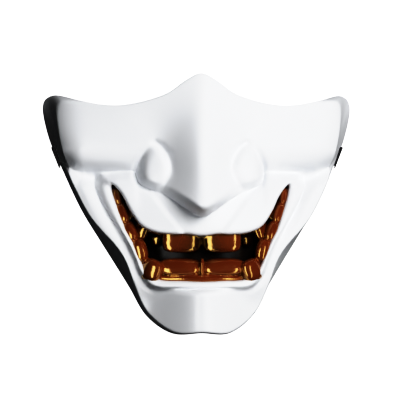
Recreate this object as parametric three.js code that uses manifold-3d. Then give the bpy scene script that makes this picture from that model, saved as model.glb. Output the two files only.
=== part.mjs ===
// Half mask of a grinning demon: a white moulded shell from the nose bridge to the chin,
// two rows of metallised amber-gold teeth, a black panel behind them and an elastic strap.
// Lengths are in millimetres. The mask lies on its flat back rim, face up, chin towards -Y.
import * as THREE from 'three';
import { mergeVertices } from 'three/addons/utils/BufferGeometryUtils.js';
import Module from 'manifold-3d';

const wasm = await Module();
wasm.setup();

// The mask is described as seen from the front: u to the wearer's left, v up, w towards the viewer.
const WALL = 3.0; // moulded wall
const CLEAR = 0.6; // gap between neighbouring pieces
const RIM_PITCH = THREE.MathUtils.degToRad(13); // the rim leans back from the face plane
const RIM_TOP_V = 62; // height at which the rim plane meets the face plane
const HALF_COLUMNS = 40; // columns round half of the mouth
const LIP_RINGS = 4;
const FACE_RINGS = 16;
const INSIDE_RINGS = 8;
const LIP_BACK_RINGS = 2;
const TOOTH_AROUND = 8;
const TOOTH_DOWN = 6;
const GUM_STEPS = 18;
const GUM_AROUND = 8;

// Stations round the mouth, from the nose bridge over the cheek tip to the chin.
// Each names three points of the front view: the mouth edge, the crease round the lips, the outer edge.
const STATIONS = [
  { at: 'centre above', mouth: [0, -18.1], crease: [0, -6.8], edge: [0, 77.6] },
  { at: 'bridge side', mouth: [9, -17.0], crease: [9.5, -2.0], edge: [9, 73.6] },
  { at: 'bridge foot', mouth: [17, -17.2], crease: [19.5, 4.9], edge: [19, 66.6] },
  { at: 'nostril', mouth: [27, -16.2], crease: [28.0, 8.8], edge: [30, 62.6] },
  { at: 'nose wing', mouth: [35.5, -12.3], crease: [36.2, 13.0], edge: [41, 60.2] },
  { at: 'cheek root', mouth: [41.5, -4.0], crease: [39.2, 19.8], edge: [50, 59.4] },
  { at: 'cheek dip', mouth: [46, 4.8], crease: [45.5, 19.6], edge: [60, 60.2] },
  { at: 'cheek', mouth: [49.8, 10.0], crease: [52.5, 19.6], edge: [72, 62.8] },
  { at: 'mouth corner', mouth: [52.4, 12.2], crease: [60.8, 18.8], edge: [88.5, 67.4] },
  { at: 'cheek tip', mouth: [52.5, 9.0], crease: [62.2, 11.0], edge: [95.5, 61.5] },
  { at: 'temple', mouth: [50.9, 3.0], crease: [58.8, 3.0], edge: [91.8, 42.0] },
  { at: 'strap', mouth: [48.3, -4.1], crease: [54.5, -4.5], edge: [84, 24] },
  { at: 'jaw top', mouth: [44.5, -14], crease: [49.2, -13], edge: [71.8, -2] },
  { at: 'jaw', mouth: [40, -22.5], crease: [43.6, -22.5], edge: [59.5, -22.3] },
  { at: 'jaw foot', mouth: [36.5, -31], crease: [39.5, -30.8], edge: [49.9, -37.5] },
  { at: 'lower corner', mouth: [32, -39], crease: [36.0, -40], edge: [42.1, -50] },
  { at: 'chin corner', mouth: [24.5, -43.6], crease: [28.6, -47.6], edge: [31.8, -67.0] },
  { at: 'chin side', mouth: [12.5, -44.2], crease: [14, -48.6], edge: [16.7, -77.4] },
  { at: 'chin notch', mouth: [0, -44.6], crease: [0, -48.8], edge: [0, -77.1] },
];
const LAST = STATIONS.length - 1;

// Profiles down the face, each as pairs of height v and size
const MUZZLE_FRONT = [[82, 50.5], [60, 51.5], [40, 51.5], [20, 59.5], [0, 73], [-18, 79.5], [-30, 80],
  [-45, 80], [-60, 80.5], [-72, 79], [-80, 76]];
const MUZZLE_SLOPE = [[82, 0.36], [60, 0.31], [40, 0.20], [20, 0.30], [0, 0.46], [-30, 0.54], [-60, 0.62],
  [-80, 0.66]];
const MUZZLE_ROUND = [[82, 13], [45, 14], [20, 17], [0, 21], [-30, 24], [-60, 27], [-80, 30]];
const NOSE_RIDGE = [[80, 63], [60, 68], [40, 75.5], [20, 84.5], [8, 91.5], [0, 96], [-6, 98.8],
  [-10, 99.5], [-14, 98]];
const NOSE_FLANK = [[80, 0.42], [60, 0.58], [40, 0.90], [20, 1.30], [8, 1.38], [0, 1.34], [-12, 1.30]];
const NOSE_KEEL = [[80, 5], [40, 5], [20, 5.5], [5, 8.0], [-3, 10.5], [-12, 11]];
// Profiles round the mouth, each as pairs of station and size
const NOSE_UNDERSIDE = [[0, 4.6], [2, 4.2], [3, 3.6], [4, 3.0], [5, 3.0], [18, 3.0]];
const LIP_FULLNESS = [[0, 0], [2, 0.8], [4, 3.0], [6, 5.0], [8, 4.5], [18, 4.5]];
const SHOULDER = [[0, 0.1], [6.8, 0.1], [8, 8], [9, 20], [10, 16.5], [10.5, 15], [11, 9.5], [11.5, 7],
  [12, 6], [13, 8], [14, 7], [15, 5], [16, 4], [18, 4]];
const SHOULDER_CURVE = [[0, 1.4], [8, 1.4], [9, 1.1], [10.5, 1.1], [11, 1.8], [12, 1.6], [13, 1.2],
  [14.5, 1.2], [15.5, 1.6], [18, 1.6]];
const FOLD_HEIGHT = [[8, 5], [11, 5], [12, 3.5], [13, 2.2], [15, 1.6], [18, 1.6]];
const FOLD_WIDTH = [[8, 24], [11, 24], [12, 15], [13, 7.5], [14, 6], [18, 6]];
// extra depth of the inside behind the crease
const CREASE_BACK = [[0, 0.9], [3, 0.9], [4, 2.6], [6, 2.6], [7, 1.6], [9, 1.6], [10, 0.9], [18, 0.9]];
const CREASE_BACK_WIDTH = 9;
const BAND_STEP = { height: 3.6, width: 1.7 }; // the lower lip stands out of the face round it

const CHEEK = { right: 84.5, flare: 0.22, low: 20.2, corner: 18, rise: 10.0, roll: 22, curve: 2.8 };
const WING = {
  a: 27.4, v: 22.8, inner: 11.5, outer: 10.4, above: 14.4, below: 18, turn: 12,
  top: 66.6, lean: 0.38, pitch: 0.3, depth: 9.5, power: 3.0,
};
// Soft creases that are carved in, as a, v and depth along each
const NOSTRIL_CREASE = [[29.5, 37.4, 0], [27.1, 36.6, 0.9], [23.6, 34.2, 1.6], [20.7, 30.1, 1.7],
  [18.9, 26, 1.5], [17.8, 21.3, 0.8], [17.2, 15.5, 0]];
const CHEEK_CREASE = [[80, 33, 0], [76, 24.5, 1.8], [70, 19.8, 2.6], [62, 18.6, 2.6], [55, 18.9, 1.8],
  [48, 19.4, 0.8], [42, 19.6, 0]];
const WING_CREASE = [[31, 33, 0], [34.6, 27.5, 0.8], [37.8, 22.5, 1.6], [38.4, 18.5, 2.0],
  [36.2, 13.4, 1.6], [31, 9.6, 0.8], [26, 7.5, 0]];
const CREASE_WIDTH = 2.6;
const CHIN = { front: 90, slope: 1.15, round: 8, side: 2, more: 6.5, reach: 14, blend: 4, rise: 3.5 };
const BLEND = { low: 2.6, more: 6.4 }; // how softly the nose runs into the cheek, low down and more above

const smooth = (x, low, high) => {
  const t = Math.min(Math.max((x - low) / (high - low), 0), 1);
  return t * t * (3 - 2 * t);
};

const softMax = (p, q, blend) => {
  const h = Math.min(Math.max(0.5 + (0.5 * (p - q)) / blend, 0), 1);
  return q * (1 - h) + p * h + blend * h * (1 - h);
};

// quarter-round rise from 0 to 1
const roll = (x) => {
  const t = Math.min(Math.max(x, 0), 1);
  return Math.sqrt(Math.max(1 - (1 - t) ** 2, 0));
};

// smooth curve through pairs of place and size
function along(pairs, place) {
  const list = pairs[0][0] > pairs[pairs.length - 1][0] ? [...pairs].reverse() : pairs;
  const n = list.length;
  const x = Math.min(Math.max(place, list[0][0]), list[n - 1][0]);
  let i = 0;
  while (i < n - 2 && x >= list[i + 1][0]) i += 1;
  const tangent = (k) => {
    if (k === 0) return (list[1][1] - list[0][1]) / (list[1][0] - list[0][0]);
    if (k === n - 1) return (list[k][1] - list[k - 1][1]) / (list[k][0] - list[k - 1][0]);
    const before = list[k][0] - list[k - 1][0];
    const after = list[k + 1][0] - list[k][0];
    const slopeBefore = (list[k][1] - list[k - 1][1]) / before;
    const slopeAfter = (list[k + 1][1] - list[k][1]) / after;
    return (slopeBefore * after + slopeAfter * before) / (before + after);
  };
  const h = list[i + 1][0] - list[i][0];
  const f = (x - list[i][0]) / h;
  return (1 + 2 * f) * (1 - f) ** 2 * list[i][1] + f * (1 - f) ** 2 * h * tangent(i)
    + f * f * (3 - 2 * f) * list[i + 1][1] + f * f * (f - 1) * h * tangent(i + 1);
}

// the three curves of the front view at station t, mirrored past both ends
function station(t, key) {
  const row = (k) => {
    const inside = k < 0 ? -k : k > LAST ? 2 * LAST - k : k;
    const [u, v] = STATIONS[inside][key];
    return inside === k ? [u, v] : [-u, v];
  };
  const i = Math.min(Math.max(Math.floor(t), 0), LAST - 1);
  const f = t - i;
  const [p0, p1, p2, p3] = [row(i - 1), row(i), row(i + 1), row(i + 2)];
  return [0, 1].map((k) => {
    const m1 = (p2[k] - p0[k]) / 2;
    const m2 = (p3[k] - p1[k]) / 2;
    const cubic = 2 * p1[k] - 2 * p2[k] + m1 + m2;
    const square = -3 * p1[k] + 3 * p2[k] - 2 * m1 - m2;
    return cubic * f ** 3 + square * f * f + m1 * f + p1[k];
  });
}

// the plain muzzle that everything else is carved on; a is the distance from the middle
function muzzle(a, v) {
  const r = along(MUZZLE_ROUND, v);
  return along(MUZZLE_FRONT, v) - along(MUZZLE_SLOPE, v) * (Math.hypot(a, r) - r);
}

// how far the chin, with its keel, stands out of the muzzle
function chin(a, v, d, t) {
  const plain = muzzle(a, v);
  const keel = CHIN.front - CHIN.slope * (Math.hypot(a, CHIN.round) - CHIN.round);
  const side = plain - CHIN.side - CHIN.more * smooth(d, 0, CHIN.reach);
  return (softMax(keel, side, CHIN.blend) - plain) * smooth(t, 14.6, 16.2) * roll(d / CHIN.rise);
}

// the cheek cushion, with a rounded lower outer corner
function cushion(a, v, inset) {
  const ey = CHEEK.low + inset + CHEEK.corner - v;
  const ex = a - (CHEEK.right - inset - CHEEK.corner) - CHEEK.flare * Math.max(-ey, 0);
  const out = Math.hypot(Math.max(ex, 0), Math.max(ey, 0)) + Math.min(Math.max(ex, ey), 0);
  const share = Math.min(Math.max((CHEEK.corner - out) / CHEEK.roll, 0), 1);
  return CHEEK.rise * (1 - (1 - share) ** CHEEK.curve);
}

function noseBody(a, v) {
  const r = along(NOSE_KEEL, v);
  return along(NOSE_RIDGE, v) - along(NOSE_FLANK, v) * (Math.hypot(a, r) - r);
}

function noseWing(a, v) {
  const turn = THREE.MathUtils.degToRad(WING.turn);
  const x = (a - WING.a) * Math.cos(turn) + (v - WING.v) * Math.sin(turn);
  const y = (v - WING.v) * Math.cos(turn) - (a - WING.a) * Math.sin(turn);
  const far = Math.hypot(x / (x > 0 ? WING.outer : WING.inner), y / (y > 0 ? WING.above : WING.below));
  return WING.top - WING.lean * (a - WING.a) - WING.pitch * (v - WING.v) - WING.depth * far ** WING.power;
}

function carved(a, v, crease) {
  let deepest = 0;
  for (let k = 0; k < crease.length - 1; k += 1) {
    const [p, q] = [crease[k], crease[k + 1]];
    const [ea, ev] = [q[0] - p[0], q[1] - p[1]];
    const f = Math.min(Math.max(((a - p[0]) * ea + (v - p[1]) * ev) / (ea * ea + ev * ev), 0), 1);
    const apart = Math.hypot(a - p[0] - f * ea, v - p[1] - f * ev);
    deepest = Math.max(deepest, (p[2] + (q[2] - p[2]) * f) * Math.exp(-((apart / CREASE_WIDTH) ** 2)));
  }
  return deepest;
}

const rimHeight = (v) => Math.tan(RIM_PITCH) * (RIM_TOP_V - v);
const wallShare = (t) => smooth(t, 6.8, 8.9); // 0 along the cut top edge, 1 down the side walls
const jawShare = (t) => smooth(t, 8.2, 9.4) * (1 - smooth(t, 15.2, 16.6));
const lipShare = (t) => 1 - smooth(t, 8.0, 9.0); // 1 on the upper lip, 0 on the lower lip band
const bandStep = (inward) => BAND_STEP.height * smooth(inward, -BAND_STEP.width, BAND_STEP.width);

// how much of the nose shows: the cliff under it near the lip, all of it beside the cheek, none on the jaw
const noseShare = (t, cliff) => {
  const near = 1 - smooth(t, 4.3, 6.0);
  return (1 - near + near * cliff) * (1 - smooth(t, 11, 13));
};

// face outside the lip crease; d is the distance out from the crease
function faceHeight(a, v, d, t) {
  const face = muzzle(a, v) + cushion(a, v, 0) + chin(a, v, d, t);
  const nose = softMax(noseBody(a, v), noseWing(a, v), 3.0);
  const creases = carved(a, v, NOSTRIL_CREASE) + carved(a, v, WING_CREASE);
  const whole = softMax(nose, face, BLEND.low + BLEND.more * smooth(v, 22, 52)) - creases;
  const cliff = noseShare(t, roll(d / along(NOSE_UNDERSIDE, t)));
  const foldShare = jawShare(t) * smooth(d, 0.5, along(FOLD_WIDTH, t)) * (1 - smooth(v, 12, 26));
  const fold = along(FOLD_HEIGHT, t) * foldShare;
  const band = (1 - lipShare(t)) * bandStep(-d);
  return face + (whole - face) * cliff + fold + band - carved(a, v, CHEEK_CREASE);
}

function faceInside(a, v, d, t) {
  const face = muzzle(a, v) + cushion(a, v, WALL) + chin(a, v, d - WALL, t) - 3.4;
  const nose = softMax(noseBody(a, v) - 4.2, noseWing(a, v) - 4.6, 3.0);
  const whole = softMax(nose, face, BLEND.low + BLEND.more * smooth(v, 22, 52));
  const cliff = noseShare(t, smooth(d, 3.5, 13));
  const foldShare = jawShare(t) * smooth(d, 2, along(FOLD_WIDTH, t) + 2) * (1 - smooth(v, 12, 26));
  const fold = along(FOLD_HEIGHT, t) * foldShare;
  const creases = carved(a, v, NOSTRIL_CREASE) + carved(a, v, WING_CREASE) + carved(a, v, CHEEK_CREASE);
  const deeper = along(CREASE_BACK, t) * (1 - smooth(d, 0, CREASE_BACK_WIDTH));
  return face + (whole - face) * cliff + fold - creases - deeper;
}

// lips, between the mouth edge and the crease; d is the distance in from the crease, D the lip's width
function lipHeight(a, v, d, D, t) {
  const e = D - d;
  const x = Math.min(Math.max(d / D, 0), 1);
  const share = lipShare(t);
  const beyond = ((a - 29.5) * 27.5 - (v - 9) * 21) / 34.6; // distance outside the line of the philtrum
  const upper = along(LIP_FULLNESS, t) * Math.sin(Math.PI * 0.62 * x) - 3 * (1 - roll(e / 3.6))
    + 1.8 * smooth(beyond, -0.6, 3) * smooth(d, 0, 5);
  const band = bandStep(d) - 4.6 * (1 - roll(e / Math.max(0.62 * D, 2)));
  const creases = carved(a, v, CHEEK_CREASE) + carved(a, v, WING_CREASE);
  return muzzle(a, v) + share * upper + (1 - share) * band - creases;
}

function lipInside(a, v, d, D, t) {
  const e = D - d;
  const x = Math.min(Math.max(d / D, 0), 1);
  const share = lipShare(t);
  const upper = 0.8 * along(LIP_FULLNESS, t) * Math.sin(Math.PI * 0.62 * x) - 5.4 + 1.6 * roll(e / 3.6);
  const band = -5.9 + 1.6 * (1 - x);
  return muzzle(a, v) + share * upper + (1 - share) * band;
}

// the side wall: the face rolls over and drops to the rim plane
function dropToRim(w, v, fromEdge, t, radius) {
  const x = Math.min(Math.max(fromEdge / radius, 0), 1);
  const share = wallShare(t);
  const rise = (w - rimHeight(v)) * (1 - (1 - x) ** along(SHOULDER_CURVE, t));
  return w * (1 - share) + share * (rimHeight(v) + rise);
}

// a polyline of [u, v, w] respaced to n steps, equal with power 1 and closer at the start above that
function respace(points, n, power = 1) {
  const run = [0];
  for (let k = 1; k < points.length; k += 1) {
    const [p, q] = [points[k - 1], points[k]];
    run.push(run[k - 1] + Math.hypot(q[0] - p[0], q[1] - p[1], q[2] - p[2]));
  }
  const out = [];
  let k = 1;
  for (let s = 0; s <= n; s += 1) {
    const want = run[run.length - 1] * (s / n) ** power;
    while (k < points.length - 1 && run[k] < want) k += 1;
    const f = Math.min(Math.max((want - run[k - 1]) / Math.max(run[k] - run[k - 1], 1e-9), 0), 1);
    out.push(points[k - 1].map((c, axis) => c + (points[k][axis] - c) * f));
  }
  return out;
}

// points from one front-view place to another, with heights from a function of (a, v, distance, share)
function lay(from, to, steps, height) {
  const length = Math.hypot(to[0] - from[0], to[1] - from[1]);
  const out = [];
  for (let s = 0; s <= steps; s += 1) {
    const f = 1 - (1 - s / steps) ** 1.6;
    const [u, v] = [from[0] + (to[0] - from[0]) * f, from[1] + (to[1] - from[1]) * f];
    out.push([u, v, height(Math.abs(u), v, length * f, length)]);
  }
  return out;
}

// one closed loop of the shell's section at station t: lip, face, rim, inside face, back to the lip
function shellSection(t) {
  const mouth = station(t, 'mouth');
  const crease = station(t, 'crease');
  const edge = station(t, 'edge');
  const before = station(Math.max(t - 0.05, -0.05), 'edge');
  const after = station(Math.min(t + 0.05, LAST + 0.05), 'edge');
  const tangent = [after[0] - before[0], after[1] - before[1]];
  const size = Math.hypot(...tangent);
  const inward = [tangent[1] / size, -tangent[0] / size];
  const share = wallShare(t);
  const innerEdge = [edge[0] + inward[0] * WALL * share, edge[1] + inward[1] * WALL * share];
  const radius = along(SHOULDER, t);
  const innerRadius = Math.max(radius - 2 * share, 0.1);
  const lip = lay(mouth, crease, 60, (a, v, s, D) => lipHeight(a, v, D - s, D, t));
  const outside = (a, v, s, D) => dropToRim(faceHeight(a, v, s, t), v, D - s, t, radius);
  const inside = (a, v, s, D) => dropToRim(faceInside(a, v, s, t), v, D - s, t, innerRadius);
  const face = lay(crease, edge, 160, outside);
  const inner = lay(crease, innerEdge, 160, inside);
  const lipBack = lay(mouth, crease, 60, (a, v, s, D) => lipInside(a, v, D - s, D, t));
  return [
    ...respace(lip, LIP_RINGS).slice(0, -1),
    ...respace(face, FACE_RINGS, 1.2),
    ...respace(inner, INSIDE_RINGS, 1.4).reverse(),
    ...respace(lipBack, LIP_BACK_RINGS).reverse().slice(1),
  ];
}

// the same section thickened round the mouth, to trim the teeth with
function swollenSection(t) {
  const mouth = station(t, 'mouth');
  const crease = station(t, 'crease');
  const lipWidth = Math.hypot(crease[0] - mouth[0], crease[1] - mouth[1]);
  const shift = CLEAR * smooth(Math.abs(t - 8), 0.1, 0.7); // none in the sharp mouth corner
  const rise = 1.5 * CLEAR; // the lips slope, so a gap square to them needs more height
  const loop = shellSection(t);
  return loop.map(([u, v, w], k) => {
    const atMouth = k === 0 || k === loop.length - 1 ? shift / lipWidth : 0;
    return [
      u - atMouth * (crease[0] - mouth[0]),
      v - atMouth * (crease[1] - mouth[1]),
      w + (k <= LIP_RINGS + FACE_RINGS ? rise : -rise),
    ];
  });
}

// from the front view to the lying mask
const MIDDLE_Y = -14.19; // set so that the mask is centred along Y
function lie([u, v, w]) {
  const y = v * Math.cos(RIM_PITCH) - w * Math.sin(RIM_PITCH) - MIDDLE_Y;
  const z = w * Math.cos(RIM_PITCH) + (v - RIM_TOP_V) * Math.sin(RIM_PITCH);
  return [u, y, z];
}

// a closed solid from loops of points; the loops join end to end unless capped
function skin(loops, capped) {
  const n = loops[0].length;
  const positions = loops.flat().flat();
  const index = [];
  const last = capped ? loops.length - 1 : loops.length;
  for (let i = 0; i < last; i += 1) {
    const k = (i + 1) % loops.length;
    for (let j = 0; j < n; j += 1) {
      const m = (j + 1) % n;
      index.push(i * n + j, k * n + j, k * n + m, i * n + j, k * n + m, i * n + m);
    }
  }
  if (capped) {
    for (const end of [0, loops.length - 1]) {
      const middle = [0, 1, 2].map((axis) => loops[end].reduce((sum, p) => sum + p[axis], 0) / n);
      const centre = positions.length / 3;
      positions.push(...middle);
      for (let j = 0; j < n; j += 1) {
        const [p, q] = [end * n + j, end * n + ((j + 1) % n)];
        index.push(...(end === 0 ? [centre, p, q] : [centre, q, p]));
      }
    }
  }
  return outward(positions, index);
}

// a geometry whose faces point out
function outward(positions, index) {
  let volume = 0;
  const at = (k) => new THREE.Vector3(positions[3 * k], positions[3 * k + 1], positions[3 * k + 2]);
  for (let f = 0; f < index.length; f += 3) {
    volume += at(index[f]).dot(at(index[f + 1]).cross(at(index[f + 2])));
  }
  const geometry = new THREE.BufferGeometry();
  geometry.setAttribute('position', new THREE.Float32BufferAttribute(positions, 3));
  geometry.setIndex(volume > 0 ? index : index.map((_, k) => index[k - (k % 3) + 2 - (k % 3)]));
  return geometry;
}

function toSolid(geometry) {
  const plain = geometry.clone();
  plain.deleteAttribute('normal');
  plain.deleteAttribute('uv');
  const merged = mergeVertices(plain, 1e-4);
  return new wasm.Manifold(new wasm.Mesh({
    numProp: 3,
    vertProperties: new Float32Array(merged.attributes.position.array),
    triVerts: new Uint32Array(merged.index.array),
  }));
}

function toGeometry(solid) {
  const mesh = solid.getMesh();
  const geometry = new THREE.BufferGeometry();
  geometry.setAttribute('position', new THREE.BufferAttribute(new Float32Array(mesh.vertProperties), 3));
  geometry.setIndex(new THREE.BufferAttribute(new Uint32Array(mesh.triVerts), 1));
  return geometry;
}

// stations spread evenly along the three curves
function spreadStations(count) {
  const fine = 1800;
  const run = [0];
  for (let k = 1; k <= fine; k += 1) {
    const [s, t] = [((k - 1) * LAST) / fine, (k * LAST) / fine];
    const step = ['mouth', 'crease', 'edge'].reduce((sum, key) => {
      const [p, q] = [station(s, key), station(t, key)];
      return sum + Math.hypot(q[0] - p[0], q[1] - p[1]);
    }, 0);
    run.push(run[k - 1] + step);
  }
  const out = [];
  let k = 1;
  for (let c = 0; c <= count; c += 1) {
    const want = (run[fine] * c) / count;
    while (k < fine && run[k] < want) k += 1;
    const f = (want - run[k - 1]) / (run[k] - run[k - 1]);
    out.push(((k - 1 + f) * LAST) / fine);
  }
  return out;
}

// the shell as one ring of sections round the mouth
const columns = spreadStations(HALF_COLUMNS);
function ringGeometry(section) {
  const sections = columns.map(section);
  const mirrored = sections.slice(1, -1).reverse().map((loop) => loop.map(([u, v, w]) => [-u, v, w]));
  return skin([...sections, ...mirrored].map((loop) => loop.map(lie)), false);
}

// Teeth are shaped in the front view with h, the height over the muzzle
const overMuzzle = ([u, v, h]) => lie([u, v, muzzle(Math.abs(u), v) + h]);

const UPRIGHT = 4.5; // how square a tooth is from root to edge

// a rounded tooth; square is 2 for a round section and more for a flat front
function tooth({ a, v, across, tall, front, deep, turn, square }, side, grow) {
  const ball = new THREE.SphereGeometry(1, TOOTH_AROUND, TOOTH_DOWN);
  const place = ball.attributes.position;
  const angle = THREE.MathUtils.degToRad(turn);
  for (let k = 0; k < place.count; k += 1) {
    const p = [place.getX(k), place.getY(k), place.getZ(k)];
    const flat = (Math.abs(p[0]) ** square + Math.abs(p[2]) ** square) ** (1 / square);
    const reach = (flat ** UPRIGHT + Math.abs(p[1]) ** UPRIGHT) ** (-1 / UPRIGHT);
    const [x, y, z] = [across, tall, deep].map((size, axis) => p[axis] * reach * (size + grow));
    const au = a + x * Math.cos(angle) - y * Math.sin(angle);
    const av = v + x * Math.sin(angle) + y * Math.cos(angle);
    place.setXYZ(k, ...overMuzzle([side * au, av, front - deep + z]));
  }
  ball.deleteAttribute('normal');
  ball.deleteAttribute('uv');
  const plain = mergeVertices(ball, 1e-4);
  return outward([...plain.attributes.position.array], [...plain.index.array]);
}

// a gum bar: an oval section led round the mouth edge, set in from it
function gumBar(from, to, steps, { inset, across, top, deep }, grow) {
  const loops = [];
  for (let s = 0; s <= steps; s += 1) {
    const t = from + ((to - from) * s) / steps;
    const folded = t > LAST ? 2 * LAST - t : t < 0 ? -t : t;
    const side = t > LAST || t < 0 ? -1 : 1;
    const mouth = station(folded, 'mouth');
    const crease = station(folded, 'crease');
    const size = Math.hypot(crease[0] - mouth[0], crease[1] - mouth[1]);
    const out = [(crease[0] - mouth[0]) / size, (crease[1] - mouth[1]) / size];
    const loop = [];
    for (let j = 0; j < GUM_AROUND; j += 1) {
      const angle = (2 * Math.PI * j) / GUM_AROUND;
      const shift = -inset + (across + grow) * Math.cos(angle);
      loop.push(overMuzzle([
        side * (mouth[0] + out[0] * shift),
        mouth[1] + out[1] * shift,
        top - deep + (deep + grow) * Math.sin(angle),
      ]));
    }
    loops.push(loop);
  }
  return skin(loops, true);
}

const UPPER_TEETH = [
  { a: 11.5, v: -14.5, across: 10.7, tall: 12.6, front: -3.0, deep: 5.0, turn: 4, square: 2.7 },
  { a: 26.6, v: -14.5, across: 4.4, tall: 10.4, front: -5.2, deep: 5.0, turn: 6, square: 2.2 },
  { a: 34.6, v: -12.5, across: 4.6, tall: 10.0, front: -3.6, deep: 5.0, turn: 20, square: 2.2 },
  { a: 41.8, v: -3.6, across: 3.6, tall: 7.6, front: -4.4, deep: 4.6, turn: 28, square: 2.2 },
];
const LOWER_TEETH = [
  { a: 12.2, v: -35.6, across: 11.8, tall: 4.7, front: -1.0, deep: 5.6, turn: 0, square: 2.8 },
  { a: 0.3, v: -36.4, across: 1.0, tall: 5.4, front: -1.0, deep: 4.0, turn: 0, square: 2.2 },
  { a: 28.8, v: -37.2, across: 5.8, tall: 6.3, front: 1.6, deep: 6.2, turn: 24, square: 2.3 },
  { a: 36.4, v: -26.8, across: 4.8, tall: 6.8, front: 1.6, deep: 6.0, turn: -14, square: 2.3 },
  { a: 42.2, v: -15.8, across: 4.4, tall: 6.4, front: 1.4, deep: 6.0, turn: -22, square: 2.3 },
  { a: 46.8, v: -4.8, across: 3.9, tall: 6.3, front: 1.0, deep: 6.0, turn: -22, square: 2.3 },
  { a: 49.6, v: 5.2, across: 2.9, tall: 5.4, front: 0.2, deep: 6.0, turn: -10, square: 2.3 },
];
const UPPER_GUM = { inset: -2.5, across: 5.0, top: -6.0, deep: 4.9 };
const LOWER_GUM = { inset: 1.2, across: 3.9, top: -1.9, deep: 6.8 };

function teethRow(gum, from, to, teeth, grow) {
  let row = toSolid(gumBar(from, to, GUM_STEPS, gum, grow));
  for (const shape of teeth) {
    for (const side of [1, -1]) row = row.add(toSolid(tooth(shape, side, grow)));
  }
  return row;
}

// each row is trimmed clear of the shell, and the upper one clear of the lower
const swollenShell = toSolid(ringGeometry(swollenSection));
const LOWER_START = 9.6; // station at which the lower row begins
const LOWER_END = 2 * LAST - LOWER_START;
const lowerTeeth = teethRow(LOWER_GUM, LOWER_START, LOWER_END, LOWER_TEETH, 0).subtract(swollenShell);
const swollenLower = teethRow(LOWER_GUM, LOWER_START - 0.1, LOWER_END + 0.1, LOWER_TEETH, CLEAR);
const upperTeeth = teethRow(UPPER_GUM, -6.4, 6.4, UPPER_TEETH, 0).subtract(swollenShell).subtract(swollenLower);

// the black panel closing the back of the mouth
const PANEL = { beyond: 3.0, front: -16.3, thick: 1.6, columns: 20, rows: 3, end: 7.5 };
function panelGeometry() {
  const edgePoint = (s, lower) => {
    const side = s < 0 ? -1 : 1;
    const t = lower ? LAST - ((LAST - 8) * Math.abs(s)) / 8 : Math.abs(s);
    const mouth = station(t, 'mouth');
    const crease = station(t, 'crease');
    const size = Math.hypot(crease[0] - mouth[0], crease[1] - mouth[1]);
    const [u, v] = [0, 1].map((k) => mouth[k] + (PANEL.beyond * (crease[k] - mouth[k])) / size);
    return [side * u, v];
  };
  const loops = [];
  for (let c = 0; c <= PANEL.columns; c += 1) {
    const s = -PANEL.end + (2 * PANEL.end * c) / PANEL.columns;
    const [top, low] = [edgePoint(s, false), edgePoint(s, true)];
    const row = (f, h) => overMuzzle([top[0] + (low[0] - top[0]) * f, top[1] + (low[1] - top[1]) * f, h]);
    const front = [];
    const back = [];
    for (let r = 0; r <= PANEL.rows; r += 1) {
      front.push(row(r / PANEL.rows, PANEL.front));
      back.push(row(1 - r / PANEL.rows, PANEL.front - PANEL.thick));
    }
    loops.push([...front, ...back]);
  }
  return skin(loops, true);
}

// Strap: an elastic band laid slack across the hollow, folded twice on itself in the middle.
// Each end passes out through a slot above the rim and is turned down flat against the wall.
const STRAP = { width: 12, thick: 0.9, low: 0.4, lift: 1.8, fold: 24, rise: 14, run: 42 };
// the slot's skew is the wall's lean in plan, in degrees
const SLOT = { x: 85.8, y: 39.7, z: 8.0, long: 14, high: 3.2, skew: 21.5 };
const LEAN = Math.tan(THREE.MathUtils.degToRad(SLOT.skew));
const TURN = { start: 0.25, bend: 0.8, down: 5.4 }; // where the end is turned down outside the slot

// points on an arc of the band's centre line, in x and z
function bend(x, z, radius, from, to) {
  const steps = 4;
  return Array.from({ length: steps + 1 }, (_, k) => {
    const angle = THREE.MathUtils.degToRad(from + ((to - from) * k) / steps);
    return [x + radius * Math.cos(angle), z + radius * Math.sin(angle)];
  });
}

// a slope of the centre line between two heights
function slope(x0, z0, x1, z1) {
  const steps = 5;
  const share = (k) => smooth(k / steps, 0, 1);
  return Array.from({ length: steps + 1 }, (_, k) => [x0 + ((x1 - x0) * k) / steps, z0 + (z1 - z0) * share(k)]);
}

function strapLine() {
  const floor = STRAP.low + STRAP.thick / 2;
  const middle = floor + STRAP.lift;
  const top = floor + 2 * STRAP.lift;
  const half = STRAP.lift / 2;
  const turnX = SLOT.x + TURN.start;
  const end = [
    ...slope(STRAP.run, floor, SLOT.x - 6, SLOT.z),
    ...bend(turnX, SLOT.z - TURN.bend, TURN.bend, 90, 0),
    [turnX + TURN.bend, SLOT.z - TURN.down],
  ];
  return [
    ...end.map(([x, z]) => [-x, z]).reverse(),
    ...slope(-STRAP.fold - STRAP.rise, floor, -STRAP.fold - 2, top),
    ...bend(STRAP.fold, top - half, half, 90, -90),
    ...bend(-STRAP.fold, middle - half, half, 90, 270),
    ...end,
  ];
}

function strapGeometry() {
  const line = strapLine();
  const loops = line.map(([x, z], k) => {
    const before = line[Math.max(k - 1, 0)];
    const after = line[Math.min(k + 1, line.length - 1)];
    const size = Math.hypot(after[0] - before[0], after[1] - before[1]);
    const across = [before[1] - after[1], after[0] - before[0]].map((c) => (c / size) * (STRAP.thick / 2));
    const corner = (sign, dy) => {
      const cx = x + sign * across[0];
      const skewed = cx + Math.sign(cx) * LEAN * dy * smooth(Math.abs(cx), 52, 78);
      return [skewed, SLOT.y + dy, z + sign * across[1]];
    };
    const half = STRAP.width / 2;
    return [corner(1, -half), corner(1, half), corner(-1, half), corner(-1, -half)];
  });
  return skin(loops, true);
}

function slotCutter(side) {
  const box = new THREE.BoxGeometry(12, SLOT.long, SLOT.high);
  const place = box.attributes.position;
  for (let k = 0; k < place.count; k += 1) place.setX(k, place.getX(k) + side * LEAN * place.getY(k));
  box.translate(side * SLOT.x, SLOT.y, SLOT.z);
  return toSolid(box);
}

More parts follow.
